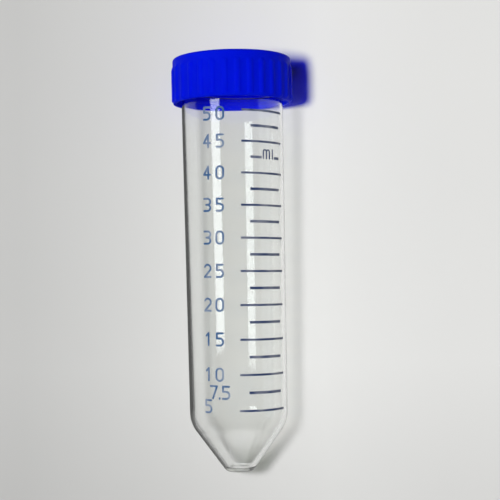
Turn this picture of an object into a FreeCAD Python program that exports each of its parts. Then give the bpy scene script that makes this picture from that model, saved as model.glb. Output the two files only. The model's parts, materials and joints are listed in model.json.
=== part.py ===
import FreeCAD, Part

import math
import os

from FreeCAD import Vector

# A 50 ml conical-bottomed laboratory tube with a ribbed screw cap, lying on a flat surface.
# Lengths are in millimetres and angles in degrees.
#
# Everything is built upright first, about the tube's own axis: Z runs from the closed tip (Z = 0)
# up through the mouth, and the front, where the scale is printed, faces -Y. At the end each solid
# is laid down on its back, as it comes to rest on the cap's ribs and on the rounded shoulder.

# ---- Tube: one clear moulding --------------------------------------------------------------

tube_length = 115.7         # closed tip to rim
tip_radius = 3.9            # blunt end of the cone, measured to its sharp corner
tip_rounding = 1.3
cone_length = 13.9          # closed tip to the corner between cone and body
shoulder_radius = 13.9      # outside of the body at that corner
shoulder_rounding = 9.0
neck_radius = 14.45         # outside of the straight neck, where the body's draft ends
neck_length = 13.4          # straight neck under the cap, down from the rim
body_wall = 1.3             # wall at the bottom of the body
neck_wall = 0.75            # wall of the neck
cone_wall = 1.3             # wall of the cone, square to its slope
tip_floor = 1.6             # thickness of the closed end
inner_tip_rounding = 1.0    # at the foot of the bore
least_inner_rounding = 0.3  # inside the shoulder, however thick the wall
mouth_chamfer = 0.3         # bevel inside the rim
rim_rounding = 0.3          # outer edge of the rim

# ---- Screw thread outside the neck -----------------------------------------------------------

thread_pitch = 3.6
thread_turns = 1.7
thread_height = 1.0         # how far the ridge stands out of the neck
thread_base_width = 1.9
thread_crest_width = 0.8
thread_lead = 2.2           # rim down to the middle of the ridge's upper end
thread_start_angle = 144.0  # upper end; the ridge's odd part turn then lies underneath, as the heavier side
thread_runout_angle = 40.0  # turn over which each end of the ridge rises
thread_root_depth = 0.4     # the ridge starts this deep inside the neck's wall
thread_end_depth = 0.1      # each end of the ridge sinks this deep into that wall
thread_step_angle = 15.0    # turn between two sections of the ridge

# ---- Cap: one coloured moulding ----------------------------------------------------------------

cap_height = 12.8
cap_top_thickness = 1.65
cap_wall = 1.05             # skirt, without its ribs
cap_edge_rounding = 0.8     # outer edge of the flat top
skirt_edge_chamfer = 0.35   # bevels at the skirt's open edge
thread_clearance = 0.35     # between the thread's crest and the inside of the skirt
rim_clearance = 0.05        # between the rim and the underside of the top

rib_count = 30
rib_height = 0.4
rib_base_width = 1.9
rib_crest_width = 0.9
rib_root_depth = 0.3        # each rib starts this deep inside the skirt
rib_foot = 0.5              # skirt's open edge up to the ribs
rib_foot_slope = 0.35       # height over which a rib rises at its lower end
rib_head = 2.3              # top of the cap down to the ribs
rib_head_slope = 0.8        # height over which a rib sinks at its upper end

plug_clearance = 0.12       # between the sealing ring and the mouth it fits into
plug_wall = 0.9
plug_depth = 3.0            # underside of the top down to the sealing ring's lip
plug_lip_chamfer = 0.5

# ---- Scale printed on the front ------------------------------------------------------------------

ink_thickness = 0.08
ink_gap = 0.01              # keeps the ink's underside just off the wall it lies on
ink_skew_angle = 1.5        # the whole print sits turned this much on the tube

first_volume = 5.0          # millilitres at the lowest line
last_volume = 50.0
volume_step = 2.5

main_line_width = 0.6       # at every 5 ml
main_line_start = 6.0       # angles round the tube, from the front towards +X
main_line_end = 66.0
minor_line_width = 0.75     # halfway between them
minor_line_start = 16.5
minor_line_end = 59.5

digit_height = 3.9
digit_width = 2.5
digit_stroke = 0.55
first_digit_angle = -32.5   # middle of a number's first digit, round the tube from the front
digit_spacing_angle = 15.0
half_number_shift = 7.5     # 7.5 stands this much nearer to its line
top_number_drop = 1.0       # 50 stands this much below its line
bottom_number_rise = 1.0    # 5 stands this much above its line

unit_volume = 42.5          # the line that makes room for the letters "ml"
unit_height = 2.9
unit_lift = 1.0             # letters' middle above that line
unit_stroke = 0.45
unit_angle = 42.0           # middle of the letters, round the tube
unit_room_start = 30.5      # gap left in that line
unit_room_end = 50.0

# ---- Derived places, upright -----------------------------------------------------------------------

cap_bore_radius = neck_radius + thread_height + thread_clearance
skirt_radius = cap_bore_radius + cap_wall
rib_radius = skirt_radius + rib_height
cap_underside = tube_length + rim_clearance
cap_top = cap_underside + cap_top_thickness
cap_foot = cap_top - cap_height
neck_base = tube_length - neck_length
neck_bore_radius = neck_radius - neck_wall

stamp_reach = neck_radius + rib_radius  # stamps for the print reach well past the wall


# ---- Profiles of revolution: points are (radius, height) -------------------------------------------

def toward(start, end):
    """Unit direction from one point to another, and the distance between them."""
    across = end[0] - start[0]
    along = end[1] - start[1]
    distance = math.hypot(across, along)
    return across / distance, along / distance, distance


def rounded_corner(before, corner, after, radius):
    """Start, middle, end and centre of the arc that rounds a corner to the given radius."""
    ax, ay, _ = toward(corner, before)
    bx, by, _ = toward(corner, after)
    half_angle = math.acos(max(-1.0, min(1.0, ax * bx + ay * by))) / 2
    setback = radius / math.tan(half_angle)
    start = (corner[0] + ax * setback, corner[1] + ay * setback)
    end = (corner[0] + bx * setback, corner[1] + by * setback)
    mx, my, _ = toward((0.0, 0.0), (ax + bx, ay + by))
    reach = radius / math.sin(half_angle)
    centre = (corner[0] + mx * reach, corner[1] + my * reach)
    middle = (centre[0] - mx * radius, centre[1] - my * radius)
    return start, middle, end, centre


def in_profile(point):
    """A (radius, height) point as a place in the XZ plane."""
    return Vector(point[0], 0, point[1])


def revolved(corners):
    """Solid of revolution about Z from a closed outline of (radius, height, rounding) corners."""
    edges = []
    ends = []
    for i, (radius, height, rounding) in enumerate(corners):
        corner = (radius, height)
        if rounding > 0:
            before = corners[i - 1][:2]
            after = corners[(i + 1) % len(corners)][:2]
            start, middle, end, _ = rounded_corner(before, corner, after, rounding)
            edges.append(Part.Arc(in_profile(start), in_profile(middle), in_profile(end)).toShape())
            ends.append((start, end))
        else:
            ends.append((corner, corner))
    for i in range(len(ends)):
        leave = ends[i - 1][1]
        arrive = ends[i][0]
        if math.dist(leave, arrive) > 1e-7:
            edges.append(Part.makeLine(in_profile(leave), in_profile(arrive)))
    outline = Part.Wire(Part.__sortEdges__(edges))
    return Part.Face(outline).revolve(Vector(0, 0, 0), Vector(0, 0, 1), 360)


def meet(first, first_way, second, second_way):
    """Where two lines cross, each given by a point and a direction."""
    cross = first_way[0] * second_way[1] - first_way[1] * second_way[0]
    gap = (second[0] - first[0], second[1] - first[1])
    run = (gap[0] * second_way[1] - gap[1] * second_way[0]) / cross
    return first[0] + first_way[0] * run, first[1] + first_way[1] * run


# ---- Tube --------------------------------------------------------------------------------------------

outer_tip = (tip_radius, 0.0)
outer_shoulder = (shoulder_radius, cone_length)
outer_neck = (neck_radius, neck_base)

cone_way = toward(outer_tip, outer_shoulder)[:2]
inner_cone_point = (tip_radius - cone_wall * cone_way[1], cone_wall * cone_way[0])
inner_tip = meet(inner_cone_point, cone_way, (0.0, tip_floor), (1.0, 0.0))
body_inside = (shoulder_radius - body_wall, cone_length)
inner_neck = (neck_bore_radius, neck_base)
inner_shoulder = meet(inner_cone_point, cone_way, body_inside, toward(body_inside, inner_neck)[:2])


def body_radius(height):
    """Outside radius of the drafted body at a height above the tip."""
    draft = (neck_radius - shoulder_radius) / (neck_base - cone_length)
    return shoulder_radius + draft * (height - cone_length)


def thread_ridge():
    """The raised thread outside the neck, one helical ridge that rises and sinks at its ends."""
    turn = thread_turns * 360.0
    steps = max(8, round(turn / thread_step_angle))
    top = tube_length - thread_lead
    root = neck_radius - thread_root_depth
    slope = (thread_base_width - thread_crest_width) / 2 / thread_height
    root_half = thread_base_width / 2 + slope * thread_root_depth
    sections = []
    for i in range(steps + 1):
        angle = turn * i / steps
        rise = min(1.0, angle / thread_runout_angle, (turn - angle) / thread_runout_angle)
        crest = neck_radius - thread_end_depth + (thread_height + thread_end_depth) * rise
        crest_half = root_half - slope * (crest - root)
        middle = top - thread_pitch * angle / 360.0
        around = math.radians(thread_start_angle + angle)
        shape = [(root, -root_half), (crest, -crest_half), (crest, crest_half), (root, root_half)]
        points = [
            Vector(r * math.cos(around), -r * math.sin(around), middle + across)
            for r, across in shape
        ]
        sections.append(Part.makePolygon(points + points[:1]))
    return Part.makeLoft(sections, True, False)


def make_tube():
    """Body, cone, neck and thread: one thin-walled moulding, open at the mouth."""
    wall = revolved([
        (0.0, 0.0, 0),
        (*outer_tip, tip_rounding),
        (*outer_shoulder, shoulder_rounding),
        (*outer_neck, 0),
        (neck_radius, tube_length, rim_rounding),
        (neck_bore_radius + mouth_chamfer, tube_length, 0),
        (neck_bore_radius, tube_length - mouth_chamfer, 0),
        (*inner_neck, 0),
        (*inner_shoulder, max(least_inner_rounding, shoulder_rounding - body_wall)),
        (*inner_tip, inner_tip_rounding),
        (0.0, tip_floor, 0),
    ])
    return wall.fuse(thread_ridge())


# ---- Cap ---------------------------------------------------------------------------------------------

def make_rib(angle):
    """One gripping rib on the skirt: a bar with sloping sides and ends."""
    low = cap_foot + rib_foot
    high = cap_top - rib_head
    rib = Part.makeWedge(
        -rib_base_width / 2, skirt_radius - rib_root_depth, low,
        low + rib_foot_slope, -rib_crest_width / 2,
        rib_base_width / 2, rib_radius, high,
        high - rib_head_slope, rib_crest_width / 2,
    )
    rib.rotate(Vector(0, 0, 0), Vector(0, 0, 1), angle)
    return rib


def make_cap():
    """Flat-topped cap: ribbed skirt, and a ring under the top that plugs the mouth."""
    plug_radius = neck_bore_radius - plug_clearance
    plug_bore = plug_radius - plug_wall
    plug_lip = cap_underside - plug_depth
    shell = revolved([
        (0.0, cap_underside, 0),
        (plug_bore, cap_underside, 0),
        (plug_bore, plug_lip, 0),
        (plug_radius - plug_lip_chamfer, plug_lip, 0),
        (plug_radius, plug_lip + plug_lip_chamfer, 0),
        (plug_radius, cap_underside, 0),
        (cap_bore_radius, cap_underside, 0),
        (cap_bore_radius, cap_foot + skirt_edge_chamfer, 0),
        (cap_bore_radius + skirt_edge_chamfer, cap_foot, 0),
        (skirt_radius - skirt_edge_chamfer, cap_foot, 0),
        (skirt_radius, cap_foot + skirt_edge_chamfer, 0),
        (skirt_radius, cap_top, cap_edge_rounding),
        (0.0, cap_top, 0),
    ])
    # two ribs straddle the cap's lowest line, which faces +Y, so that it rests on both
    ribs = [make_rib((i + 0.5) * 360.0 / rib_count) for i in range(rib_count)]
    return shell.multiFuse(ribs)


# ---- Printed scale --------------------------------------------------------------------------------

def frustum_volume(low, high):
    """Volume between two (radius, height) points of a tapering bore, in cubic millimetres."""
    r0, r1 = low[0], high[0]
    return math.pi / 3 * (high[1] - low[1]) * (r0 * r0 + r0 * r1 + r1 * r1)


def fill_height(millilitres):
    """Height above the tip that a liquid of this volume reaches in the upright tube."""
    left = millilitres * 1000.0
    low = inner_tip
    for high in (inner_shoulder, inner_neck):
        held = frustum_volume(low, high)
        if left <= held:
            break
        if high is not inner_neck:
            left -= held
            low = high
    taper = (high[0] - low[0]) / (high[1] - low[1])
    radius = (low[0] ** 3 + 3 * taper * left / math.pi) ** (1 / 3)
    return low[1] + (radius - low[0]) / taper


def line_stroke(start, end, width):
    """A straight pen stroke with round ends, as a flat face in the XZ plane."""
    ax, ay, length = toward(start, end)
    half = width / 2
    side = (-ay * half, ax * half)
    a_left = Vector(start[0] + side[0], 0, start[1] + side[1])
    a_right = Vector(start[0] - side[0], 0, start[1] - side[1])
    b_left = Vector(end[0] + side[0], 0, end[1] + side[1])
    b_right = Vector(end[0] - side[0], 0, end[1] - side[1])
    a_tip = Vector(start[0] - ax * half, 0, start[1] - ay * half)
    b_tip = Vector(end[0] + ax * half, 0, end[1] + ay * half)
    outline = Part.Wire([
        Part.makeLine(a_left, b_left),
        Part.Arc(b_left, b_tip, b_right).toShape(),
        Part.makeLine(b_right, a_right),
        Part.Arc(a_right, a_tip, a_left).toShape(),
    ])
    return Part.Face(outline)


def arc_stroke(centre, radius, start_angle, end_angle, width):
    """A round pen stroke as a flat face in the XZ plane, with square ends."""
    def at(distance, angle):
        turn = math.radians(angle)
        return Vector(centre[0] + distance * math.cos(turn), 0, centre[1] + distance * math.sin(turn))

    inner = radius - width / 2
    outer = radius + width / 2
    middle = (start_angle + end_angle) / 2
    outline = Part.Wire([
        Part.Arc(at(outer, start_angle), at(outer, middle), at(outer, end_angle)).toShape(),
        Part.makeLine(at(outer, end_angle), at(inner, end_angle)),
        Part.Arc(at(inner, end_angle), at(inner, middle), at(inner, start_angle)).toShape(),
        Part.makeLine(at(inner, start_angle), at(outer, start_angle)),
    ])
    return Part.Face(outline)


def digit_strokes(digit):
    """The pen strokes of a digit about its middle: plain upright numerals with round bowls."""
    w = (digit_width - digit_stroke) / 2
    h = (digit_height - digit_stroke) / 2

    def line(x0, y0, x1, y1):
        return line_stroke((x0, y0), (x1, y1), digit_stroke)

    def arc(x, y, radius, start_angle, end_angle):
        return arc_stroke((x, y), radius, start_angle, end_angle, digit_stroke)

    if digit == "0":
        return [
            arc(0, h - w, w, 0, 180), line(-w, h - w, -w, w - h),
            arc(0, w - h, w, 180, 360), line(w, w - h, w, h - w),
        ]
    if digit == "1":
        return [line(0.2 * w, -h, 0.2 * w, h), line(0.2 * w, h, -0.6 * w, 0.55 * h)]
    if digit == "2":
        lean = math.radians(35)
        return [
            arc(0, h - w, w, -35, 170),
            line(w * math.cos(lean), h - w - w * math.sin(lean), -w, -h), line(-w, -h, w, -h),
        ]
    if digit == "3":
        bowl = h / 2
        return [
            line(-w, h, w - bowl, h), arc(w - bowl, bowl, bowl, -90, 90),
            line(-0.3 * w, 0, w - bowl, 0), arc(w - bowl, -bowl, bowl, -90, 90),
            line(w - bowl, -h, -w, -h),
        ]
    if digit == "4":
        stem = 0.4 * w
        bar = -0.35 * h
        return [line(stem, -h, stem, h), line(stem, h, -w, bar), line(-w, bar, w, bar)]
    if digit == "5":
        waist = 0.15 * h
        bowl = (h + waist) / 2
        return [
            line(0.9 * w, h, -0.85 * w, h), line(-0.85 * w, h, -0.85 * w, waist),
            line(-0.85 * w, waist, w - bowl, waist), arc(w - bowl, waist - bowl, bowl, -90, 90),
            line(w - bowl, -h, -0.9 * w, -h),
        ]
    if digit == "6":
        return [
            arc(0, w - h, w, 0, 180), arc(0, w - h, w, 180, 360),
            line(-w, w - h, -w, h - w), arc(0, h - w, w, 45, 180),
        ]
    if digit == "7":
        return [line(-w, h, w, h), line(w, h, -0.25 * w, -h)]
    if digit == "8":
        bowl = h / 2
        return [
            arc(0, bowl, bowl, 0, 180), arc(0, bowl, bowl, 180, 360),
            arc(0, -bowl, bowl, 0, 180), arc(0, -bowl, bowl, 180, 360),
        ]
    if digit == "9":
        return [
            arc(0, h - w, w, 0, 180), arc(0, h - w, w, 180, 360),
            line(w, h - w, w, w - h), arc(0, w - h, w, -135, 0),
        ]
    raise ValueError(digit)


def unit_strokes():
    """The pen strokes of the letters "ml" about their middle."""
    h = (unit_height - unit_stroke) / 2
    arch = 0.45 * h
    waist = 0.45 * h
    stems = [-4 * arch + i * 2 * arch for i in range(3)]
    strokes = [line_stroke((x, -h), (x, waist), unit_stroke) for x in stems]
    strokes += [
        arc_stroke((x + arch, waist), arch, 0, 180, unit_stroke) for x in stems[:2]
    ]
    tall = 2.2 * arch
    strokes.append(line_stroke((tall, -h), (tall, h), unit_stroke))
    return strokes


def on_front(strokes, angle, height):
    """Flat strokes as one stamp that reaches through the wall, round the tube and up it."""
    bars = [stroke.extrude(Vector(0, -stamp_reach, 0)) for stroke in strokes]
    stamp = bars[0].multiFuse(bars[1:]) if len(bars) > 1 else bars[0]
    stamp.translate(Vector(0, 0, height))
    stamp.rotate(Vector(0, 0, 0), Vector(0, 0, 1), angle)
    return stamp


def line_stamp(height, width, start_angle, end_angle):
    """A sector of a disc: one scale line as a stamp."""
    foot = Vector(0, 0, height - width / 2)
    stamp = Part.makeCylinder(stamp_reach, width, foot, Vector(0, 0, 1), end_angle - start_angle)
    stamp.rotate(Vector(0, 0, 0), Vector(0, 0, 1), start_angle - 90)
    return stamp


def number_stamps(text, volume):
    """One stamp for each digit of a number beside its line."""
    height = fill_height(volume)
    angle = first_digit_angle
    if volume == last_volume:
        height -= top_number_drop
    if volume == first_volume:
        height += bottom_number_rise
    if "." in text:
        angle += half_number_shift
    digits = text.replace(".", "")
    stamps = [
        on_front(digit_strokes(digit), angle + i * digit_spacing_angle, height)
        for i, digit in enumerate(digits)
    ]
    if "." in text:
        foot = -digit_height / 2 + digit_stroke / 2
        point = line_stroke((0, foot), (0, foot + digit_stroke / 4), digit_stroke)
        stamps.append(on_front([point], angle + digit_spacing_angle / 2, height))
    return stamps


def make_printed_scale():
    """Lines, numbers and unit: thin patches of ink on the outside of the body."""
    inside = ink_gap
    outside = ink_gap + ink_thickness
    low = cone_length
    high = neck_base
    film = revolved([
        (body_radius(low) + inside, low, 0),
        (body_radius(low) + outside, low, 0),
        (body_radius(high) + outside, high, 0),
        (body_radius(high) + inside, high, 0),
    ])
    stamps = []
    count = round((last_volume - first_volume) / volume_step) + 1
    for i in range(count):
        volume = first_volume + i * volume_step
        height = fill_height(volume)
        if i % 2 == 0:
            stamps.append(line_stamp(height, main_line_width, main_line_start, main_line_end))
            stamps += number_stamps(f"{volume:.0f}", volume)
        elif volume == unit_volume:
            stamps.append(line_stamp(height, minor_line_width, minor_line_start, unit_room_start))
            stamps.append(line_stamp(height, minor_line_width, unit_room_end, minor_line_end))
            stamps.append(on_front(unit_strokes(), unit_angle, height + unit_lift))
        else:
            stamps.append(line_stamp(height, minor_line_width, minor_line_start, minor_line_end))
        if i == 1:
            stamps += number_stamps(f"{volume:.1f}", volume)
    pivot = Vector(0, 0, (cone_length + neck_base) / 2)
    patches = []
    for stamp in stamps:
        stamp.rotate(pivot, Vector(0, 1, 0), ink_skew_angle)
        patches += film.common(stamp).Solids
    return Part.makeCompound(patches)


# ---- Lying down ---------------------------------------------------------------------------------------

def rest_tilt():
    """Slope of the axis, in radians, when the ribs and the rounded shoulder both touch the floor."""
    half_pitch = math.pi / rib_count
    foot_drop = rib_radius * math.cos(half_pitch) + rib_crest_width / 2 * math.sin(half_pitch)
    foot_height = cap_foot + rib_foot + rib_foot_slope
    centre = rounded_corner(outer_tip, outer_shoulder, outer_neck, shoulder_rounding)[3]
    along = foot_height - centre[1]
    across = foot_drop - centre[0]
    tilt = math.atan2(across, along) - math.asin(shoulder_rounding / math.hypot(along, across))
    lift = foot_drop * math.cos(tilt) - foot_height * math.sin(tilt)
    return tilt, lift


def lay_down(shape):
    """Lay an upright solid on its back, with the middle of its length over the origin."""
    tilt, lift = rest_tilt()
    tip_centre = rounded_corner((0.0, 0.0), outer_tip, outer_shoulder, tip_rounding)[3]
    edge_radius = skirt_radius - cap_edge_rounding
    edge_height = cap_top - cap_edge_rounding
    far = edge_radius * math.sin(tilt) + edge_height * math.cos(tilt) + cap_edge_rounding
    near = -tip_centre[0] * math.sin(tilt) + tip_centre[1] * math.cos(tilt) - tip_rounding
    laid = shape.copy()
    laid.rotate(Vector(0, 0, 0), Vector(1, 0, 0), math.degrees(tilt) - 90)
    laid.translate(Vector(0, -(far + near) / 2, lift))
    return laid


def main():
    """Write each node's solids to its own file."""
    os.makedirs("parts", exist_ok=True)
    nodes = {
        "tube": make_tube(),
        "cap": make_cap(),
        "printed_scale": make_printed_scale(),
    }
    for name, shape in nodes.items():
        laid = lay_down(shape)
        laid.exportStep(f"parts/{name}.step")
        print(name, len(laid.Solids), "solids,", round(laid.Volume, 2), "mm3, valid:", laid.isValid())


main()
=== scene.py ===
import json
import logging
import math
from collections.abc import Callable
from dataclasses import dataclass
from enum import Enum

import bpy
import numpy as np
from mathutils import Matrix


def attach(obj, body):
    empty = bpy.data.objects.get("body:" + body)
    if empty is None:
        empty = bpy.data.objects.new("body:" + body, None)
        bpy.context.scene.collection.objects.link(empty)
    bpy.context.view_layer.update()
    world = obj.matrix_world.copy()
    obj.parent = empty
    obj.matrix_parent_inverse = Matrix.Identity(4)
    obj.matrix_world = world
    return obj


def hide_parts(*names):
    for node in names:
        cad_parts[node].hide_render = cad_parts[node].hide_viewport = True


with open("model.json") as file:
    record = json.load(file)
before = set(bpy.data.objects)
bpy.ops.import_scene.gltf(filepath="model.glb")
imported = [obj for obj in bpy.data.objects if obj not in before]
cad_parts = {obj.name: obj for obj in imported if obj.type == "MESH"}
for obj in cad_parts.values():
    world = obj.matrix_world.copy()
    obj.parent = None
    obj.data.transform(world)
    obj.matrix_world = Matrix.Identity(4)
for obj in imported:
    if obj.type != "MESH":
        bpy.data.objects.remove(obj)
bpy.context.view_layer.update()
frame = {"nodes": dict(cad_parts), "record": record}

# A 50 ml conical-bottomed laboratory tube with a ribbed screw cap, lying on its back.
# Each moulding is worked out upright, as (radius, angle, height) about its own axis with the closed
# tip at height 0 and the printed front at angle 0, and is then laid along the axis that the record's
# mounts give. Lengths are in metres.

MM = 0.001
CLOSE = 1e-7                            # lengths that differ by less are the same
CRISP = math.radians(50)                # smooth shading stops at sharper edges
LOG = logging.getLogger("tube_scene")


# ---- The tube's own axis --------------------------------------------------------------------------


@dataclass(frozen=True)
class TubeAxis:
    """Where the tube's axis lies: the closed tip, and the directions round it."""

    tip: np.ndarray
    right: np.ndarray
    front: np.ndarray
    along: np.ndarray

    @classmethod
    def from_record(cls, record: dict, cap_top_height: float) -> "TubeAxis":
        """Reads the axis from the mount on the cap's flat top.

        Args:
            record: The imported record, with its mounts.
            cap_top_height: Distance along the axis from the closed tip to the cap's flat top.

        Returns:
            The axis, with its tip that far below the cap's top.
        """
        mount = next(m for m in record["mounts"] if m["name"] == "cap_top")
        along = np.array(mount["axis"], float)
        along /= np.linalg.norm(along)
        right = np.array([1.0, 0.0, 0.0])
        front = np.cross(right, along)
        return cls(np.array(mount["pos_m"], float) - along * cap_top_height, right, front, along)

    def place(self, radius: np.ndarray, angle: np.ndarray, height: np.ndarray) -> np.ndarray:
        """Points of the laid-down tube: tip + radius * (sin a * right + cos a * front) + height * along.

        Args:
            radius: Distances from the axis.
            angle: Angles round the tube, from its printed front towards the right, in radians.
            height: Distances along the axis from the closed tip.

        Returns:
            An array of points with a last axis of three.
        """
        across = np.sin(angle)[..., None] * self.right + np.cos(angle)[..., None] * self.front
        return self.tip + radius[..., None] * across + height[..., None] * self.along


# ---- Surfaces of revolution -------------------------------------------------------------------------


@dataclass(frozen=True)
class Corner:
    """A corner of a moulding's outline: its radius and height, and how far it is rounded."""

    radius: float
    height: float
    rounding: float = 0.0


def rounded_outline(corners: list[Corner], arc_steps: int = 8) -> np.ndarray:
    """The outline through the corners, each rounded one replaced by points on its arc.

    The arc of a corner of half angle h and rounding q starts q / tan(h) from the corner, and its
    centre lies q / sin(h) from it on the line that halves the corner.

    Args:
        corners: The outline from pole to pole.
        arc_steps: Steps along each arc.

    Returns:
        An (n, 2) array of radius and height.
    """
    points: list[np.ndarray] = []
    for i, corner in enumerate(corners):
        here = np.array([corner.radius, corner.height])
        if corner.rounding <= 0 or i in (0, len(corners) - 1):
            points.append(here[None])
            continue
        before = np.array([corners[i - 1].radius, corners[i - 1].height]) - here
        after = np.array([corners[i + 1].radius, corners[i + 1].height]) - here
        before /= np.linalg.norm(before)
        after /= np.linalg.norm(after)
        half = math.acos(float(np.clip(before @ after, -1, 1))) / 2
        middle = (before + after) / np.linalg.norm(before + after)
        centre = here + middle * corner.rounding / math.sin(half)
        start = here + before * corner.rounding / math.tan(half) - centre
        end = here + after * corner.rounding / math.tan(half) - centre
        sweep = math.pi - 2 * half
        part = np.linspace(0, sweep, arc_steps + 1)[:, None]
        points.append(centre + (np.sin(sweep - part) * start + np.sin(part) * end) / math.sin(sweep))
    return np.concatenate(points)


def refined(outline: np.ndarray, longest: float) -> np.ndarray:
    """The outline with each span cut into equal parts, as few as keep them short enough.

    Args:
        outline: (n, 2) radii and heights.
        longest: The longest that a part may be.

    Returns:
        The (m, 2) radii and heights, without spans of no length.
    """
    spans = np.linalg.norm(np.diff(outline, axis=0), axis=1)
    parts = [np.arange(n)[:, None] / n for n in np.maximum(1, np.ceil(spans / longest).astype(int))]
    cut = [outline[i] + (outline[i + 1] - outline[i]) * parts[i] for i in np.flatnonzero(spans > CLOSE)]
    return np.concatenate([*cut, outline[-1:]])


def revolved_piece(name: str, axis: TubeAxis, outline: np.ndarray, angles: np.ndarray,
                   swell: Callable[[np.ndarray, np.ndarray, np.ndarray], np.ndarray]) -> bpy.types.Object:
    """A closed moulding: its outline turned about the axis, with a swelling added to the radius.

    The point at row i and angle a is place(r_i + swell(i, a), a, h_i). The outline's first and last
    points lie on the axis and become single poles.

    Args:
        name: The new object's name.
        axis: Where the moulding lies.
        outline: (n, 2) radii and heights, from pole to pole, with the solid on its inner side.
        angles: Angles round the axis, rising, in radians.
        swell: Gives what is added to the radius from arrays of row, angle and height.

    Returns:
        The new object, at the origin, with its faces outward.
    """
    rows, turns = len(outline) - 2, len(angles)
    radius, height = outline[1:-1, :1], outline[1:-1, 1:]
    row_number = np.broadcast_to(np.arange(1, rows + 1)[:, None], (rows, turns))
    angle = np.broadcast_to(angles, (rows, turns))
    height = np.broadcast_to(height, (rows, turns))
    points = axis.place(radius + swell(row_number, angle, height), angle, height).reshape(-1, 3)
    poles = axis.place(np.zeros(2), np.zeros(2), outline[[0, -1], 1])
    grid = np.arange(rows * turns).reshape(rows, turns)
    step = np.roll(grid, -1, axis=1)
    quads = np.stack([grid[:-1], step[:-1], step[1:], grid[1:]], axis=-1).reshape(-1, 4)
    first, last = rows * turns, rows * turns + 1
    fans = np.concatenate([
        np.stack([np.full(turns, first), step[0], grid[0]], axis=-1),
        np.stack([np.full(turns, last), grid[-1], step[-1]], axis=-1),
    ])
    mesh = bpy.data.meshes.new(name)
    mesh.from_pydata(np.concatenate([points, poles]).tolist(), [], [*quads.tolist(), *fans.tolist()])
    mesh.validate()
    mesh.polygons.foreach_set("use_smooth", np.ones(len(mesh.polygons), bool))
    mesh.set_sharp_from_angle(angle=CRISP)
    piece = bpy.data.objects.new(name, mesh)
    bpy.context.scene.collection.objects.link(piece)
    return piece


def plateau(distance: np.ndarray, half_crest: float, half_base: float) -> np.ndarray:
    """1 on a ridge's crest, 0 beyond its base, and an eased slope between them."""
    t = np.clip((half_base - np.abs(distance)) / (half_base - half_crest), 0, 1)
    return t * t * (3 - 2 * t)


@dataclass(frozen=True)
class HelicalRidge:
    """A screw thread's ridge: how it winds, and its section."""

    pitch: float
    turns: float
    top: float              # height of the middle of the ridge at its upper end
    rise: float             # how far it stands out of its wall; below zero, into the bore
    base_width: float
    crest_width: float
    runout: float           # turn over which each end rises, in radians
    start: float = math.radians(-54)    # angle of its upper end, from which it winds down right-handed

    def swelling(self, angle: np.ndarray, height: np.ndarray) -> np.ndarray:
        """How far the ridge stands out at each angle and height.

        The ridge's middle lies at top - pitch * w / 2 pi, where w is the turn from its upper end, so
        each whole turn that fits gives one pass, and the passes don't overlap.

        Args:
            angle: Angles round the tube, in radians.
            height: Heights at the same points.

        Returns:
            What the ridge adds to the radius at each point.
        """
        out = np.zeros(np.shape(angle))
        end = self.turns * 2 * math.pi
        for lap in range(math.ceil(self.turns) + 1):
            wound = np.mod(self.start - angle, 2 * math.pi) + lap * 2 * math.pi
            ends = np.clip(np.minimum(wound, end - wound) / self.runout, 0, 1)
            middle = self.top - self.pitch * wound / (2 * math.pi)
            out += plateau(height - middle, self.crest_width / 2, self.base_width / 2) * ends
        return out * self.rise


# ---- Finishes ---------------------------------------------------------------------------------------


Socket = bpy.types.NodeSocket
Colour = tuple[float, float, float]
Vec = tuple[float, float, float]
Span = tuple[float, float]


class Sum(Enum):
    """What a Math node works out."""

    ADD = "ADD"
    MULTIPLY = "MULTIPLY"
    MINIMUM = "MINIMUM"
    LESS_THAN = "LESS_THAN"


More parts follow.
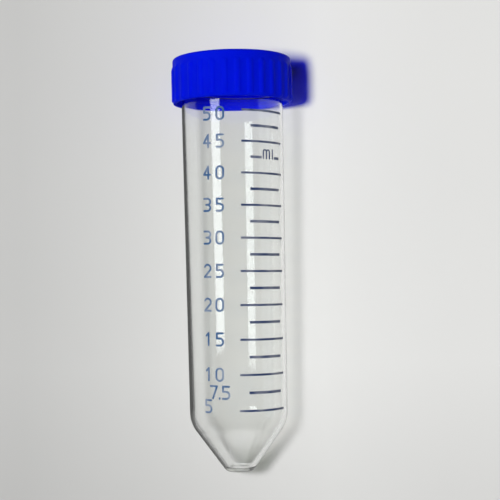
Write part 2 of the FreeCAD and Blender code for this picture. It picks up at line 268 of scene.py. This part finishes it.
class NodeBoard:
    """A node tree with short ways to add nodes and join them."""

    def __init__(self, tree: bpy.types.NodeTree) -> None:
        """Starts from an emptied tree."""
        self.tree = tree
        tree.nodes.clear()

    def add(self, kind: str, inputs: dict | None = None, **settings: object) -> bpy.types.Node:
        """Adds a node.

        Args:
            kind: The node's type, such as ShaderNodeTexNoise.
            inputs: Sockets by name or number, each given a value or another node's output.
            settings: Attributes set on the node before its inputs.

        Returns:
            The new node.
        """
        node = self.tree.nodes.new(kind)
        for name, value in settings.items():
            setattr(node, name, value)
        for name, value in (inputs or {}).items():
            if isinstance(value, Socket):
                self.tree.links.new(value, node.inputs[name])
            else:
                node.inputs[name].default_value = value
        return node

    def math(self, operation: Sum, *values: object) -> Socket:
        """A Math node's output."""
        return self.add("ShaderNodeMath", dict(enumerate(values)), operation=operation.value).outputs[0]

    def blend(self, factor: object, first: Socket | Colour, second: Socket | Colour) -> Socket:
        """The colour between two colours.

        Args:
            factor: 0 for the first colour, 1 for the second, as a number or a socket.
            first: The first colour, or a socket that gives it.
            second: The second colour, or a socket that gives it.

        Returns:
            The blended colour's socket.
        """
        ends = [value if isinstance(value, Socket) else (*value, 1.0) for value in (first, second)]
        node = self.add("ShaderNodeMix", {0: factor, 6: ends[0], 7: ends[1]}, data_type="RGBA")
        return node.outputs[2]

    def stretch(self, value: Socket, low: float, high: float, to_low: float, to_high: float) -> Socket:
        """A Map Range node's output: low becomes to_low, high becomes to_high, and it stops there."""
        return self.add("ShaderNodeMapRange", {0: value, 1: low, 2: high, 3: to_low, 4: to_high}).outputs[0]

    def place(self) -> list[Socket]:
        """The three Object coordinates, each as a socket."""
        whole = self.add("ShaderNodeTexCoord").outputs["Object"]
        return list(self.add("ShaderNodeSeparateXYZ", {0: whole}).outputs)

    def finish_with_window(self, shell: bpy.types.Node, passed: Socket | Colour) -> None:
        """Ends a material that is its shell to the eye and a coloured window to a lamp's light.

        Args:
            shell: The shader that is seen.
            passed: The share of a lamp's light that each wall lets through.
        """
        colour = passed if isinstance(passed, Socket) else (*passed, 1.0)
        window = self.add("ShaderNodeBsdfTransparent", {"Color": colour})
        ray = self.add("ShaderNodeLightPath").outputs["Is Shadow Ray"]
        mixed = self.add("ShaderNodeMixShader", {0: ray, 1: shell.outputs[0], 2: window.outputs[0]})
        self.add("ShaderNodeOutputMaterial", {"Surface": mixed.outputs[0]})


def new_material(name: str) -> tuple[bpy.types.Material, NodeBoard]:
    """Makes a material with an empty node tree.

    Args:
        name: The material's name.

    Returns:
        The material, and the board of its node tree.
    """
    finish = bpy.data.materials.new(name)
    finish.use_nodes = True
    return finish, NodeBoard(finish.node_tree)


@dataclass(frozen=True)
class MouldedGrain:
    """The texture that all the finishes share: fine grain, flow marks, broad mottle and scuffs."""

    fine: float = 1400.0                # how many of each mark stand in a metre
    flow: float = 420.0
    scratches: float = 260.0
    mottle: float = 90.0
    drawn: Vec = (1.0, 0.05, 1.0)       # draws flow marks and scratches out along the tube
    scratch_width: float = 0.02         # of the distance between two scratches
    fine_share: float = 0.35            # of the height; flow marks have the rest

    def group(self) -> bpy.types.NodeTree:
        """Makes the node group when it is first asked for.

        Returns:
            A group with inputs Scale and Wear, and outputs Height, Mottle and Scuff.
        """
        name = "moulded_grain"
        if name in bpy.data.node_groups:
            return bpy.data.node_groups[name]
        tree = bpy.data.node_groups.new(name, "ShaderNodeTree")
        for socket in ("Scale", "Wear"):
            tree.interface.new_socket(socket, in_out="INPUT", socket_type="NodeSocketFloat")
        for socket in ("Height", "Mottle", "Scuff"):
            tree.interface.new_socket(socket, in_out="OUTPUT", socket_type="NodeSocketFloat")
        board = NodeBoard(tree)
        given = board.add("NodeGroupInput").outputs
        place = board.add("ShaderNodeTexCoord").outputs["Object"]
        sized = board.add("ShaderNodeVectorMath", {0: place, "Scale": given["Scale"]},
                          operation="SCALE").outputs[0]
        drawn = board.add("ShaderNodeMapping", {"Vector": sized, "Scale": self.drawn}).outputs[0]
        fine = board.add("ShaderNodeTexNoise", {"Vector": sized, "Scale": self.fine, "Detail": 3.0})
        broad = board.add("ShaderNodeTexNoise", {"Vector": sized, "Scale": self.mottle, "Detail": 2.0})
        flow = board.add("ShaderNodeTexNoise", {"Vector": drawn, "Scale": self.flow, "Detail": 2.0})
        scratch = board.add("ShaderNodeTexVoronoi", {"Vector": drawn, "Scale": self.scratches},
                            feature="DISTANCE_TO_EDGE")
        scuff = board.stretch(scratch.outputs["Distance"], 0.0, self.scratch_width, 1.0, 0.0)
        worn = board.math(Sum.MULTIPLY, scuff, given["Wear"])
        height = board.math(Sum.ADD, board.math(Sum.MULTIPLY, fine.outputs[0], self.fine_share),
                            board.math(Sum.MULTIPLY, flow.outputs[0], 1.0 - self.fine_share))
        board.add("NodeGroupOutput", {"Height": height, "Mottle": broad.outputs[0], "Scuff": worn})
        return tree


@dataclass(frozen=True)
class Texture:
    """How one finish uses the moulded grain: its size, its wear and its relief."""

    scale: float
    depth: float                        # of the relief, in metres
    strength: float
    wear: float = 0.0

    def add(self, board: NodeBoard) -> tuple[Socket, Socket, Socket]:
        """Adds the grain and its relief to a material.

        Args:
            board: The material's board.

        Returns:
            The sockets of the relief's normal, the mottle and the scuffs.
        """
        grain = board.add("ShaderNodeGroup", {"Scale": self.scale, "Wear": self.wear},
                          node_tree=MouldedGrain().group()).outputs
        bump = board.add("ShaderNodeBump", {
            "Strength": self.strength, "Distance": self.depth, "Height": grain["Height"],
        })
        return bump.outputs[0], grain["Mottle"], grain["Scuff"]


@dataclass(frozen=True)
class ClearPlastic:
    """Clear moulded polypropylene."""

    tint: Colour = (0.955, 0.961, 0.954)
    index: float = 1.49
    roughness: float = 0.03
    haze: float = 0.03                  # what the mottle adds to the roughness
    texture: Texture = Texture(scale=1.0, depth=0.02 * MM, strength=0.02)
    passing: Colour = (1.0, 1.0, 0.995)             # of a lamp's light, straight through a wall
    blocked: Colour = (0.56, 0.56, 0.55)            # and at a glancing angle
    tip_passing: Colour = (0.80, 0.81, 0.79)        # the same at the solid tip
    tip_range: Span = (-57.5 * MM, -51.0 * MM)      # where along the tube that begins and ends
    cone_blocked: Colour = (0.0, 0.0, 0.0)
    cone_range: Span = (-53.0 * MM, -45.0 * MM)

    def material(self, name: str) -> bpy.types.Material:
        """A glass-like material that lets lamps through, less at a glancing angle.

        Args:
            name: The material's name.

        Returns:
            The new material.
        """
        finish, board = new_material(name)
        normal, mottle, _ = self.texture.add(board)
        rough = board.math(Sum.ADD, self.roughness, board.math(Sum.MULTIPLY, mottle, self.haze))
        shell = board.add("ShaderNodeBsdfPrincipled", {
            "Base Color": (*self.tint, 1.0), "Metallic": 0.0, "Roughness": rough, "IOR": self.index,
            "Transmission Weight": 1.0, "Normal": normal,
        })
        behind = board.add("ShaderNodeNewGeometry").outputs["Backfacing"]
        entering = board.stretch(behind, 0.0, 1.0, self.index, 1.0 / self.index)
        glance = board.add("ShaderNodeFresnel", {"IOR": entering}).outputs[0]
        along = board.place()[1]
        at_tip = board.stretch(along, *self.tip_range, 1.0, 0.0)
        at_cone = board.stretch(along, *self.cone_range, 1.0, 0.0)
        passing = board.blend(at_tip, self.passing, self.tip_passing)
        blocked = board.blend(at_cone, self.blocked, self.cone_blocked)
        board.finish_with_window(shell, board.blend(glance, passing, blocked))
        return finish


@dataclass(frozen=True)
class ColouredPlastic:
    """Solid-coloured moulded polyethylene, a little translucent to strong light."""

    colour: Colour = (0.0012, 0.0095, 0.86)
    mottled: Colour = (0.00108, 0.00855, 0.774)     # the colour where the mottle is strongest
    mottle_range: Span = (0.35, 0.65)
    index: float = 1.5
    gloss: float = 0.02
    roughness: float = 0.42
    unevenness: float = 0.1             # what the mottle adds to the roughness
    scuffing: float = 0.15              # and the scuffs
    texture: Texture = Texture(scale=0.8, depth=0.03 * MM, strength=0.08, wear=0.5)
    glow: float = 0.8                   # share of the light that spreads inside the wall
    glow_reach: Colour = (0.05, 0.15, 1.0)
    glow_depth: float = 3.5 * MM
    passing: Colour = (0.0, 0.06, 0.70)             # of a lamp's light, through one wall

    def material(self, name: str) -> bpy.types.Material:
        """A satin plastic; lamps pass through its walls as coloured light.

        Args:
            name: The material's name.

        Returns:
            The new material.
        """
        finish, board = new_material(name)
        normal, mottle, scuff = self.texture.add(board)
        colour = board.blend(board.stretch(mottle, *self.mottle_range, 0.0, 1.0), self.colour, self.mottled)
        uneven = board.math(Sum.MULTIPLY, mottle, self.unevenness)
        scuffed = board.math(Sum.MULTIPLY, scuff, self.scuffing)
        rough = board.math(Sum.ADD, self.roughness, board.math(Sum.ADD, uneven, scuffed))
        shell = board.add("ShaderNodeBsdfPrincipled", {
            "Base Color": colour, "Metallic": 0.0, "Roughness": rough, "IOR": self.index,
            "Specular IOR Level": self.gloss, "Normal": normal, "Subsurface Weight": self.glow,
            "Subsurface Radius": self.glow_reach, "Subsurface Scale": self.glow_depth,
        })
        board.finish_with_window(shell, self.passing)
        return finish


@dataclass(frozen=True)
class PrintInk:
    """Screen-printed ink on plastic: navy lines, and numbers of a paler blue that is partly painted
    highlight from the bright streak across them.
    """

    lines: Colour = (0.040, 0.066, 0.165)
    # the numbers' print colour, lightened by painted highlight where the bright streak crosses them
    numbers_and_highlight: Colour = (0.038, 0.115, 0.27)
    numbers_end: float = -1.5 * MM      # place across the tube where the numbers end
    thin: Colour = (1.0, 1.0, 1.0)      # the colour that a thin patch goes towards
    thinning: float = 0.25              # how far it goes
    thin_range: Span = (0.4, 0.7)
    index: float = 1.5
    roughness: float = 0.38
    patchiness: float = 0.2             # what the mottle adds to the roughness
    texture: Texture = Texture(scale=3.0, depth=0.02 * MM, strength=0.2)
    passing: Colour = (0.88, 0.90, 0.93)            # of a lamp's light

    def material(self, name: str) -> bpy.types.Material:
        """Ink with thinner, paler patches, thin enough to let most of a lamp's light through.

        Args:
            name: The material's name.

        Returns:
            The new material.
        """
        finish, board = new_material(name)
        normal, mottle, _ = self.texture.add(board)
        # left of numbers_end the ink takes the numbers' paler blue, partly painted highlight
        left = board.math(Sum.LESS_THAN, board.place()[0], self.numbers_end)
        patches = board.stretch(mottle, *self.thin_range, 0.0, self.thinning)
        colour = board.blend(patches, board.blend(left, self.lines, self.numbers_and_highlight), self.thin)
        rough = board.math(Sum.ADD, self.roughness, board.math(Sum.MULTIPLY, mottle, self.patchiness))
        shell = board.add("ShaderNodeBsdfPrincipled", {
            "Base Color": colour, "Metallic": 0.0, "Roughness": rough, "IOR": self.index, "Normal": normal,
        })
        board.finish_with_window(shell, self.passing)
        return finish


@dataclass(frozen=True)
class PaleSurface:
    """The sheet under the tube: pale, with painted shade that darkens it towards the left and past the
    closed tip.
    """

    painted_shade_stops: tuple[Span, ...] = (        # painted shade: places from left to right, each with the shade painted there
        (-0.064, 0.585), (-0.032, 0.66), (0.026, 0.81), (0.062, 0.78),
    )
    painted_shade_past_tip: float = 0.88             # painted shade: what the shade falls to past the tip
    painted_shade_past_tip_range: Span = (-0.075, -0.03)
    cloud_scale: float = 14.0
    cloud_range: Span = (0.98, 1.02)
    tone: Colour = (1.0, 1.0, 0.98)
    roughness: float = 0.7
    gloss: float = 0.1

    def material(self, name: str) -> bpy.types.Material:
        """A matt material whose shade, painted to stand in for uneven light, is the listed shades joined by
        straight slopes, times the rest.

        Args:
            name: The material's name.

        Returns:
            The new material.
        """
        finish, board = new_material(name)
        place = board.add("ShaderNodeTexCoord").outputs["Object"]
        aside, along, _ = board.add("ShaderNodeSeparateXYZ", {0: place}).outputs
        # painted shade: darker towards the left, and darker again past the closed tip
        level: Socket | float = self.painted_shade_stops[0][1]
        for (x0, low), (x1, high) in zip(self.painted_shade_stops, self.painted_shade_stops[1:]):
            level = board.math(Sum.ADD, level, board.stretch(aside, x0, x1, 0.0, high - low))
        end = board.stretch(along, *self.painted_shade_past_tip_range, self.painted_shade_past_tip, 1.0)
        noise = {"Vector": place, "Scale": self.cloud_scale, "Detail": 3.0}
        cloud = board.stretch(board.add("ShaderNodeTexNoise", noise).outputs[0], 0.0, 1.0, *self.cloud_range)
        shade = board.math(Sum.MULTIPLY, level, board.math(Sum.MULTIPLY, cloud, end))
        toned = board.add("ShaderNodeVectorMath", {0: self.tone, "Scale": shade}, operation="SCALE")
        sheet = board.add("ShaderNodeBsdfPrincipled", {
            "Base Color": toned.outputs[0], "Roughness": self.roughness, "Specular IOR Level": self.gloss,
        })
        board.add("ShaderNodeOutputMaterial", {"Surface": sheet.outputs[0]})
        return finish


@dataclass(frozen=True)
class CardGlow:
    """The plain light of a card."""

    colour: Colour
    strength: float

    def material(self, name: str) -> bpy.types.Material:
        """A material that gives light and nothing else.

        Args:
            name: The material's name.

        Returns:
            The new material.
        """
        finish, board = new_material(name)
        glow = board.add("ShaderNodeEmission", {"Color": (*self.colour, 1.0), "Strength": self.strength})
        board.add("ShaderNodeOutputMaterial", {"Surface": glow.outputs[0]})
        return finish


@dataclass(frozen=True)
class FlagBlack:
    """Black where light has turned back inside a clear wall or off a surface, and nothing otherwise."""

    cover: float                        # how much of such light it takes away

    def material(self, name: str) -> bpy.types.Material:
        """A material that is there only for light that has been mirrored at least once.

        Args:
            name: The material's name.

        Returns:
            The new material.
        """
        finish, board = new_material(name)
        turned = board.math(Sum.MINIMUM, board.add("ShaderNodeLightPath").outputs["Glossy Depth"], 1.0)
        clear = board.add("ShaderNodeBsdfTransparent")
        black = board.add("ShaderNodeEmission", {"Color": (0.0, 0.0, 0.0, 1.0), "Strength": 0.0})
        mixed = board.add("ShaderNodeMixShader", {
            0: board.math(Sum.MULTIPLY, turned, self.cover), 1: clear.outputs[0], 2: black.outputs[0],
        })
        board.add("ShaderNodeOutputMaterial", {"Surface": mixed.outputs[0]})
        return finish


# ---- The pieces ---------------------------------------------------------------------------------------


@dataclass
class TubeMoulding:
    """The clear tube: tip, cone, drafted body, straight neck and the thread outside it."""

    length: float = 115.7 * MM
    tip_radius: float = 3.9 * MM
    tip_rounding: float = 1.3 * MM
    cone_length: float = 13.9 * MM
    shoulder_radius: float = 13.9 * MM
    shoulder_rounding: float = 9.0 * MM
    neck_radius: float = 14.45 * MM
    neck_length: float = 13.4 * MM
    body_wall: float = 1.3 * MM
    neck_wall: float = 0.75 * MM
    cone_wall: float = 1.3 * MM
    tip_floor: float = 1.6 * MM
    inner_tip_rounding: float = 1.0 * MM
    rim_rounding: float = 0.3 * MM
    finish: ClearPlastic = ClearPlastic()
    plain_step: float = 6 * MM          # between two rings of points on the plain walls
    thread_step: float = 0.12 * MM      # and where the thread runs
    segments: int = 256
    thread: HelicalRidge = HelicalRidge(
        pitch=3.6 * MM, turns=1.7, top=113.5 * MM, rise=1.0 * MM, base_width=1.9 * MM,
        crest_width=0.8 * MM, runout=math.radians(40),
    )

    def corners(self) -> list[Corner]:
        """The outline from the closed tip up the outside, over the rim and down the bore.

        The cone's wall is measured square to its slope, which makes it thicker along the radius.

        Returns:
            The corners in order, from pole to pole.
        """
        slope = math.hypot(self.shoulder_radius - self.tip_radius, self.cone_length)
        wall_across = self.cone_wall * slope / self.cone_length
        taper = (self.shoulder_radius - self.tip_radius) / self.cone_length
        inner_tip = self.tip_radius - wall_across + taper * self.tip_floor
        neck_base = self.length - self.neck_length
        bore = self.neck_radius - self.neck_wall
        draft = (bore - self.shoulder_radius + self.body_wall) / (neck_base - self.cone_length)
        meet = (self.shoulder_radius - self.body_wall - draft * self.cone_length
                - self.tip_radius + wall_across) / (taper - draft)
        inner_shoulder = self.tip_radius - wall_across + taper * meet
        return [
            Corner(0.0, 0.0),
            Corner(self.tip_radius, 0.0, self.tip_rounding),
            Corner(self.shoulder_radius, self.cone_length, self.shoulder_rounding),
            Corner(self.neck_radius, neck_base),
            Corner(self.neck_radius, self.length, self.rim_rounding),
            Corner(bore, self.length, self.rim_rounding),
            Corner(bore, neck_base),
            Corner(inner_shoulder, meet, self.shoulder_rounding - self.body_wall),
            Corner(inner_tip, self.tip_floor, self.inner_tip_rounding),
            Corner(0.0, self.tip_floor),
        ]

    def build(self, axis: TubeAxis) -> bpy.types.Object:
        """Makes the moulding's mesh: the outline turned round, and the thread added outside the neck.

        Args:
            axis: Where it lies.

        Returns:
            The new object.
        """
        outline = rounded_outline(self.corners())
        rim = int(np.argmax(outline[:, 1] > self.length - CLOSE))
        neck = int(np.argmax(outline[:, 1] > self.length - self.neck_length - CLOSE))
        below = refined(outline[:neck + 1], self.plain_step)[:-1]
        collar = refined(outline[neck:rim], self.thread_step)
        inside = refined(outline[rim:], self.plain_step)
        rows = np.concatenate([below, collar, inside])

        def swell(row: np.ndarray, angle: np.ndarray, height: np.ndarray) -> np.ndarray:
            """The thread, on the collar's rows alone."""
            outside = (row >= len(below)) & (row < len(below) + len(collar))
            return self.thread.swelling(angle, height) * outside

        angles = np.arange(self.segments) * 2 * math.pi / self.segments
        return revolved_piece("tube_moulding", axis, rows, angles, swell)

    def make(self, axis: TubeAxis) -> bpy.types.Object:
        """Builds the moulding, dresses it and sets it in the tube's place.

        Args:
            axis: Where it lies.

        Returns:
            The finished piece.
        """
        body = self.build(axis)
        body.data.materials.append(self.finish.material("clear_plastic"))
        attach(body, "tube")
        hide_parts("tube")
        return body


@dataclass
class CapMoulding:
    """The blue cap: flat top, ribbed skirt, sealing ring, and the thread inside the skirt."""

    top_height: float = 117.4 * MM
    height: float = 12.8 * MM
    top_thickness: float = 1.65 * MM
    skirt_radius: float = 16.85 * MM
    bore_radius: float = 15.8 * MM
    edge_rounding: float = 0.8 * MM
    skirt_edge_rounding: float = 0.3 * MM
    inner_rounding: float = 0.25 * MM
    plug_radius: float = 13.58 * MM
    plug_wall: float = 0.9 * MM
    plug_depth: float = 3.0 * MM
    plug_lip_rounding: float = 0.4 * MM
    rib_count: int = 30
    rib_height: float = 0.4 * MM
    rib_base_width: float = 2.1 * MM
    rib_crest_width: float = 0.7 * MM
    rib_foot: float = 0.5 * MM
    rib_foot_slope: float = 0.35 * MM
    rib_head: float = 2.3 * MM
    rib_head_slope: float = 0.8 * MM
    finish: ColouredPlastic = ColouredPlastic()
    slope_steps: int = 5                # points across each slope of a rib
    step: float = 0.3 * MM              # between two rings of points
    thread: HelicalRidge = HelicalRidge(
        pitch=3.6 * MM, turns=1.9, top=111.7 * MM, rise=-1.05 * MM, base_width=1.5 * MM,
        crest_width=0.5 * MM, runout=math.radians(30),
    )

    def corners(self) -> list[Corner]:
        """The outline from the middle of the underside out, down the bore, up the skirt and in.

        Returns:
            The corners in order, from pole to pole.
        """
        foot = self.top_height - self.height
        under = self.top_height - self.top_thickness
        lip = under - self.plug_depth
        plug_bore = self.plug_radius - self.plug_wall
        return [
            Corner(0.0, under),
            Corner(plug_bore, under, self.inner_rounding),
            Corner(plug_bore, lip, self.inner_rounding),
            Corner(self.plug_radius, lip, self.plug_lip_rounding),
            Corner(self.plug_radius, under, self.inner_rounding),
            Corner(self.bore_radius, under, self.inner_rounding),
            Corner(self.bore_radius, foot, self.skirt_edge_rounding),
            Corner(self.skirt_radius, foot, self.skirt_edge_rounding),
            Corner(self.skirt_radius, self.top_height, self.edge_rounding),
            Corner(0.0, self.top_height),
        ]

    def rib_angles(self) -> np.ndarray:
        """Angles round the cap: over each rib and slope, and one in the middle of each gap.

        Returns:
            The angles, rising, in radians.
        """
        pitch = 2 * math.pi / self.rib_count
        crest = self.rib_crest_width / 2 / self.skirt_radius
        base = self.rib_base_width / 2 / self.skirt_radius
        slope = np.linspace(crest, base, self.slope_steps)
        one = np.concatenate([-slope[::-1], [0.0], slope, [pitch / 2]])
        ribs = (np.arange(self.rib_count) + 0.5) * pitch
        return (ribs[:, None] + one[None]).ravel()

    def build(self, axis: TubeAxis) -> bpy.types.Object:
        """Makes the moulding's mesh: the outline turned round, with ribs outside and a thread inside.

        Args:
            axis: Where it lies.

        Returns:
            The new object.
        """
        outline = refined(rounded_outline(self.corners()), self.step)
        low = self.top_height - self.height + self.rib_foot
        high = self.top_height - self.rib_head
        outside = np.isclose(outline[:, 0], self.skirt_radius, atol=CLOSE)
        inside = np.isclose(outline[:, 0], self.bore_radius, atol=CLOSE)
        pitch = 2 * math.pi / self.rib_count

        def swell(row: np.ndarray, angle: np.ndarray, height: np.ndarray) -> np.ndarray:
            """The ribs on the skirt's rows and the thread on the bore's.

            Args:
                row: Numbers of the outline's points.
                angle: Angles at the same points, in radians.
                height: Heights at the same points.

            Returns:
                What they add to the radius at each point.
            """
            from_rib = (np.mod(angle, pitch) - pitch / 2) * self.skirt_radius
            rib = plateau(from_rib, self.rib_crest_width / 2, self.rib_base_width / 2)
            ends = np.clip(np.minimum((height - low) / self.rib_foot_slope,
                                      (high - height) / self.rib_head_slope), 0, 1)
            grip = rib * ends * self.rib_height * outside[row]
            return grip + self.thread.swelling(angle, height) * inside[row]

        return revolved_piece("cap_moulding", axis, outline, self.rib_angles(), swell)

    def make(self, axis: TubeAxis) -> bpy.types.Object:
        """Builds the moulding, dresses it and sets it in the cap's place.

        Args:
            axis: Where it lies.

        Returns:
            The finished piece.
        """
        lid = self.build(axis)
        lid.data.materials.append(self.finish.material("blue_plastic"))
        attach(lid, "cap")
        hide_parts("cap")
        return lid


@dataclass
class PrintedScale:
    """The volume lines and numbers, whose own mesh is kept."""

    finish: PrintInk = PrintInk()

    def make(self) -> bpy.types.Object:
        """Gives the print its ink.

        Returns:
            The print's object.
        """
        ink = frame["nodes"]["printed_scale"]
        material = self.finish.material("scale_ink")
        for slot in ink.material_slots:
            slot.material = material
        return ink


# ---- Studio ---------------------------------------------------------------------------------------------


@dataclass(frozen=True)
class Camera:
    """A camera above the tube, almost straight down."""

    place: Vec = (3.63 * MM, -12.23 * MM, 345.9 * MM)
    turn_degrees: Vec = (2.77, -0.03, -1.26)
    lens: float = 83.36                 # in millimetres, as Blender has it
    sensor_width: float = 36.0
    nearest: float = 0.01

    def build(self) -> bpy.types.Object:
        """Makes the camera and makes it the scene's own.

        Returns:
            The new camera.
        """
        data = bpy.data.cameras.new("camera")
        data.lens = self.lens
        data.sensor_width = self.sensor_width
        data.clip_start = self.nearest
        camera = bpy.data.objects.new("camera", data)
        camera.location = self.place
        camera.rotation_euler = [math.radians(a) for a in self.turn_degrees]
        bpy.context.scene.collection.objects.link(camera)
        bpy.context.scene.camera = camera
        return camera


def flat_sheet(name: str, points: list[list[float]], finish: bpy.types.Material) -> bpy.types.Object:
    """Makes one flat face.

    Args:
        name: The new object's name.
        points: Its corners in order.
        finish: Its material.

    Returns:
        The new object.
    """
    mesh = bpy.data.meshes.new(name)
    mesh.from_pydata(points, [], [tuple(range(len(points)))])
    mesh.materials.append(finish)
    sheet = bpy.data.objects.new(name, mesh)
    bpy.context.scene.collection.objects.link(sheet)
    return sheet


def show_in_gloss_alone(sheet: bpy.types.Object) -> None:
    """Hides a sheet from everything but what is glossy or clear, and takes its shadow away.

    Args:
        sheet: The sheet to hide.
    """
    sheet.visible_camera = False
    sheet.visible_diffuse = False
    sheet.visible_shadow = False


@dataclass(frozen=True)
class SoftBox:
    """A glowing card that shows only in what is glossy or clear.

    It hangs at a distance from a point over the tube, at an angle from straight up towards the
    left, and reaches from one place along Y to another.
    """

    name: str
    angle: float                        # degrees from straight up, towards -X
    width: float                        # degrees across, seen from the tube
    distance: float
    y_range: Span
    glow: CardGlow

    def build(self) -> bpy.types.Object:
        """Makes the card as one quad, facing the tube.

        Returns:
            The new card.
        """
        lean = math.radians(self.angle)
        half = self.distance * math.tan(math.radians(self.width / 2))
        middle = np.array([-math.sin(lean), 0, math.cos(lean)]) * self.distance
        across = np.array([math.cos(lean), 0, math.sin(lean)]) * half
        low, high = (np.array([0, y, 0]) for y in self.y_range)
        corners = np.array([middle - across + low, middle + across + low,
                            middle + across + high, middle - across + high])
        card = flat_sheet(self.name, corners.tolist(), self.glow.material(self.name))
        show_in_gloss_alone(card)
        return card


@dataclass(frozen=True)
class DarkFlag:
    """A black sheet laid beside the tube, as glass is photographed, that shows only in its edges."""

    name: str
    outline: tuple[Span, ...]           # x and y of its corners
    black: FlagBlack
    height: float = 0.2 * MM            # over the surface

    def build(self) -> bpy.types.Object:
        """Makes the sheet as one flat face just over the surface.

        Returns:
            The new sheet.
        """
        corners = [[x, y, self.height] for x, y in self.outline]
        flag = flat_sheet(self.name, corners, self.black.material(self.name))
        show_in_gloss_alone(flag)
        return flag


@dataclass(frozen=True)
class Lamp:
    """A round lamp near the tube, which lights the whole surface under it evenly.

    Its light grows with distance as d cubed over its height, which makes up for the fall of light
    with distance and slant over a flat surface.
    """

    name: str
    place: Vec
    radius: float
    level: float                        # 1 shows a colour on the surface as it is written

    def build(self) -> bpy.types.Object:
        """Makes the lamp, which shows in no reflection.

        Returns:
            The new lamp.
        """
        data = bpy.data.lights.new(self.name, "POINT")
        data.energy = 4 * math.pi ** 2 * self.level / self.place[2]
        data.shadow_soft_size = self.radius
        data.use_nodes = True
        board = NodeBoard(data.node_tree)
        fall = board.add("ShaderNodeLightFalloff", {"Strength": 1.0})
        away = board.add("ShaderNodeLightPath").outputs["Ray Length"]
        strength = board.math(Sum.MULTIPLY, fall.outputs["Constant"], away)
        glow = board.add("ShaderNodeEmission", {"Strength": strength})
        board.add("ShaderNodeOutputLight", {"Surface": glow.outputs[0]})
        data.cycles.use_multiple_importance_sampling = False
        lamp = bpy.data.objects.new(self.name, data)
        lamp.location = self.place
        lamp.visible_glossy = False
        lamp.visible_transmission = False
        bpy.context.scene.collection.objects.link(lamp)
        return lamp


@dataclass(frozen=True)
class Room:
    """The room: almost black where it is mirrored, and a pale backdrop where the camera sees it."""

    left: float = 0.02                  # how bright it is mirrored, from one side to the other
    right: float = 0.08
    side_range: Span = (-0.9, 0.5)
    ahead: float = 1.5                  # at the horizon past the closed tip
    ahead_range: Span = (-0.75, -0.93)
    fill: float = 0.006                 # what it adds to the lamps
    backdrop: float = 0.80

    def build(self) -> bpy.types.World:
        """Makes the world, which shows one thing to the camera, one in gloss and one to matt surfaces.

        Returns:
            The new world.
        """
        world = bpy.data.worlds.new("room")
        world.use_nodes = True
        bpy.context.scene.world = world
        board = NodeBoard(world.node_tree)
        way = board.add("ShaderNodeTexCoord").outputs["Generated"]
        sideways, forwards, _ = board.add("ShaderNodeSeparateXYZ", {0: way}).outputs
        mirrored = board.math(Sum.ADD, board.stretch(sideways, *self.side_range, self.left, self.right),
                              board.stretch(forwards, *self.ahead_range, 0.0, self.ahead))
        path = board.add("ShaderNodeLightPath").outputs
        unseen = board.blend(path["Is Diffuse Ray"], mirrored, (self.fill,) * 3)
        colour = board.blend(path["Is Camera Ray"], unseen, (self.backdrop,) * 3)
        back = board.add("ShaderNodeBackground", {"Color": colour, "Strength": 1.0})
        board.add("ShaderNodeOutputWorld", {"Surface": back.outputs[0]})
        world.cycles.sampling_method = "NONE"
        return world


@dataclass
class Studio:
    """The pale surface, the lamp, the cards and the room round them."""

    floor_size: float = 1.6             # from its middle to its edge
    surface: PaleSurface = PaleSurface()
    room: Room = Room()
    lamp: Lamp = Lamp("key_lamp", (-0.100, 0.002, 0.380), 0.027, 0.97)
    boxes: tuple[SoftBox, ...] = (
        SoftBox("near_window", 38.0, 20.0, 0.6, (-0.092, 0.12), CardGlow((0.93, 0.99, 1.0), 4.9)),
        SoftBox("far_window", -85.0, 50.0, 0.6, (-0.20, 0.25), CardGlow((0.86, 0.94, 1.0), 0.7)),
    )
    flags: tuple[DarkFlag, ...] = (
        DarkFlag("body_flag", (
            (-0.032, 0.0505), (-0.032, -0.044), (-0.0095, -0.044), (-0.0095, 0.0505),
        ), FlagBlack(0.85)),
        DarkFlag("cone_edge_flag", (
            (-0.032, -0.044), (-0.023, -0.053), (-0.0195, -0.0573), (-0.0178, -0.060), (-0.0138, -0.066),
            (-0.008, -0.075), (-0.002, -0.058), (-0.0095, -0.044),
        ), FlagBlack(0.8)),
        DarkFlag("cone_wall_flag", (
            (-0.032, -0.044), (-0.032, -0.075), (-0.008, -0.075), (-0.0138, -0.066), (-0.0178, -0.060),
            (-0.0195, -0.0573), (-0.023, -0.053),
        ), FlagBlack(0.35)),
    )

    def floor(self) -> bpy.types.Object:
        """Makes the wide pale sheet under the tube.

        Returns:
            The new floor.
        """
        half = self.floor_size
        corners = [[-half, -half, 0], [half, -half, 0], [half, half, 0], [-half, half, 0]]
        floor = flat_sheet("floor", corners, self.surface.material("pale_surface"))
        return floor

    def build(self) -> None:
        """Makes the floor, the room, the lamp, the cards and the flags."""
        self.floor()
        for item in (self.room, self.lamp, *self.boxes, *self.flags):
            item.build()


def main() -> None:
    """Builds every piece, dresses it and reports it."""
    logging.basicConfig(level=logging.INFO, format="%(message)s")
    bpy.context.scene.view_settings.view_transform = "Standard"
    cap = CapMoulding()
    axis = TubeAxis.from_record(frame["record"], cap.top_height)
    for piece in (TubeMoulding().make(axis), cap.make(axis), PrintedScale().make()):
        LOG.info("%s: %d faces", piece.name, len(piece.data.polygons))
    Studio().build()
    Camera().build()


if __name__ == "__main__":
    main()
